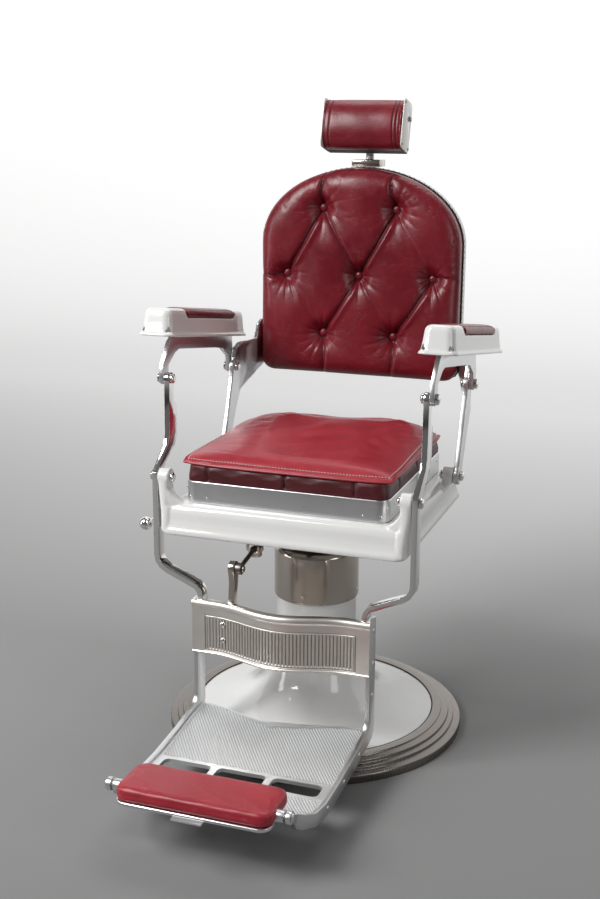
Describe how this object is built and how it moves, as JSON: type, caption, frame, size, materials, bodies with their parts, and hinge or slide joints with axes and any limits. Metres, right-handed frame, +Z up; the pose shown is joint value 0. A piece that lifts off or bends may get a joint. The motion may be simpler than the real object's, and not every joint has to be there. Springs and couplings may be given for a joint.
{
  "type": "hydraulic barber chair",
  "caption": "Old barber chair on a round pedestal: tufted reclining back, linked arms and legrest, flip footpad and adjustable headrest.",
  "frame": {"origin": "on the pedestal's axis at floor level, at the centre of the base's flat underside", "axes": "+Z up, -Y the way the sitter faces, +X to the sitter's left"},
  "size_m": [0.6979, 1.0903, 1.3718],
  "materials": {
    "leather": "deep red, soft sheen",
    "white_enamel": "glossy porcelain enamel, warm white",
    "chrome": "polished",
    "polished_aluminium": "polished, softly worn",
    "dull_nickel": "dull grey nickel",
    "machined_steel": "plain machined",
    "cast_iron": "rough cast",
    "plywood": "plain"
  },
  "bodies": {
    "pedestal": {"base_ring": "polished_aluminium", "base_plate": "cast_iron", "pedestal_column": "white_enamel", "column_collar": "dull_nickel", "hydraulic_cylinder": "machined_steel"},
    "lift": {"ram_piston": "machined_steel", "hydraulic_ram": "chrome", "swivel_bearing": "machined_steel"},
    "seat": {"seat_frame": "white_enamel", "seat_spider": "cast_iron", "seat_band": "polished_aluminium", "seat_board": "plywood", "seat_cushion": "leather", "seat_pad": "leather", "pump_body": "cast_iron", "lock_bracket": "machined_steel", "front_ear_bolt_left": "chrome", "front_ear_bolt_right": "chrome", "rear_ear_bolt_left": "chrome", "rear_ear_bolt_right": "chrome"},
    "control_lever": {"rocker_shaft": "machined_steel", "control_lever": "chrome"},
    "backrest": {"back_shell": "white_enamel", "back_board": "plywood", "back_cushion": "leather", "back_bracket_left": "polished_aluminium", "back_bracket_right": "polished_aluminium", "post_guide": "dull_nickel", "arm_rear_bolt_left": "chrome", "arm_rear_bolt_right": "chrome"},
    "arm_left": {"armrest_left": "white_enamel", "arm_pad_left": "leather", "arm_bracket_left": "polished_aluminium"},
    "arm_right": {"armrest_right": "white_enamel", "arm_pad_right": "leather", "arm_bracket_right": "polished_aluminium"},
    "legrest": {"lever_strap_left": "chrome", "lever_strap_right": "chrome", "side_strap_left": "polished_aluminium", "side_strap_right": "polished_aluminium", "legrest_apron": "polished_aluminium", "footplate": "polished_aluminium", "lock_lug": "machined_steel", "arm_front_bolt_left": "chrome", "arm_front_bolt_right": "chrome"},
    "footpad": {"footpad_tray": "polished_aluminium", "footpad_cushion": "leather"},
    "lock_rod": {"lock_rod": "machined_steel"},
    "lock_clamp": {"lock_clamp": "dull_nickel"},
    "headrest_post": {"headrest_post": "machined_steel", "headrest_pin": "machined_steel"},
    "headrest": {"headrest_case": "white_enamel", "headrest_pad": "leather", "headrest_end_left": "white_enamel", "headrest_end_right": "white_enamel"},
    "paper_spindle": {"paper_spindle": "plywood"},
    "headrest_lock_knob": {"headrest_lock_knob": "chrome"}
  },
  "joints": [
    {"name": "lift", "type": "slide", "parent": "pedestal", "child": "lift", "axis": [0, 0, 1], "range_m": [0, 0.16]},
    {"name": "swivel", "type": "hinge", "parent": "lift", "child": "seat", "pos_m": [0, 0, 0.425], "axis": [0, 0, 1], "continuous": true},
    {"name": "recline", "type": "hinge", "parent": "seat", "child": "backrest", "pos_m": [0, 0.138, 0.562], "axis": [-1, 0, 0], "range_deg": [0, 45]},
    {"name": "arm_left_link", "type": "hinge", "parent": "backrest", "child": "arm_left", "pos_m": [0.29, 0.202, 0.758], "axis": [-1, 0, 0], "range_deg": [-45, 0]},
    {"name": "arm_right_link", "type": "hinge", "parent": "backrest", "child": "arm_right", "pos_m": [-0.29, 0.202, 0.758], "axis": [-1, 0, 0], "range_deg": [-45, 0]},
    {"name": "legrest_link", "type": "hinge", "parent": "seat", "child": "legrest", "pos_m": [0, -0.219, 0.6], "axis": [-1, 0, 0], "range_deg": [0, 45]},
    {"name": "footpad_flip", "type": "hinge", "parent": "legrest", "child": "footpad", "pos_m": [0, -0.657, 0.131], "axis": [1, 0, 0], "range_deg": [0, 180]},
    {"name": "control_lever", "type": "hinge", "parent": "seat", "child": "control_lever", "pos_m": [-0.29, 0.095, 0.465], "axis": [-1, 0, 0], "range_deg": [-8, 25]},
    {"name": "lock_rod_pin", "type": "hinge", "parent": "legrest", "child": "lock_rod", "pos_m": [-0.0985, -0.214, 0.414], "axis": [-1, 0, 0], "range_deg": [-26, 0]},
    {"name": "lock_clamp_trunnion", "type": "hinge", "parent": "seat", "child": "lock_clamp", "pos_m": [-0.114, -0.12, 0.4322], "axis": [-1, 0, 0], "range_deg": [0, 20]},
    {"name": "headrest_height", "type": "slide", "parent": "backrest", "child": "headrest_post", "axis": [0, 0, 1], "range_m": [0, 0.1]},
    {"name": "headrest_tilt", "type": "hinge", "parent": "headrest_post", "child": "headrest", "pos_m": [0, 0.3553, 1.268], "axis": [-1, 0, 0], "range_deg": [-15, 45]},
    {"name": "paper_spindle_turn", "type": "hinge", "parent": "headrest", "child": "paper_spindle", "pos_m": [0, 0.34436, 1.32611], "axis": [1, 0, 0], "continuous": true},
    {"name": "headrest_lock_knob_turn", "type": "hinge", "parent": "backrest", "child": "headrest_lock_knob", "pos_m": [0, 0.3703, 1.13], "axis": [0, 1, 0], "range_deg": [-90, 90]}
  ],
  "couplings": [
    {"joint": "legrest_link", "follows": "recline", "ratio": 1},
    {"joint": "arm_left_link", "follows": "recline", "ratio": -1},
    {"joint": "arm_right_link", "follows": "recline", "ratio": -1},
    {"joint": "lock_clamp_trunnion", "follows": "recline", "ratio": 0.4259},
    {"joint": "lock_rod_pin", "follows": "recline", "ratio": -0.5741}
  ]
}
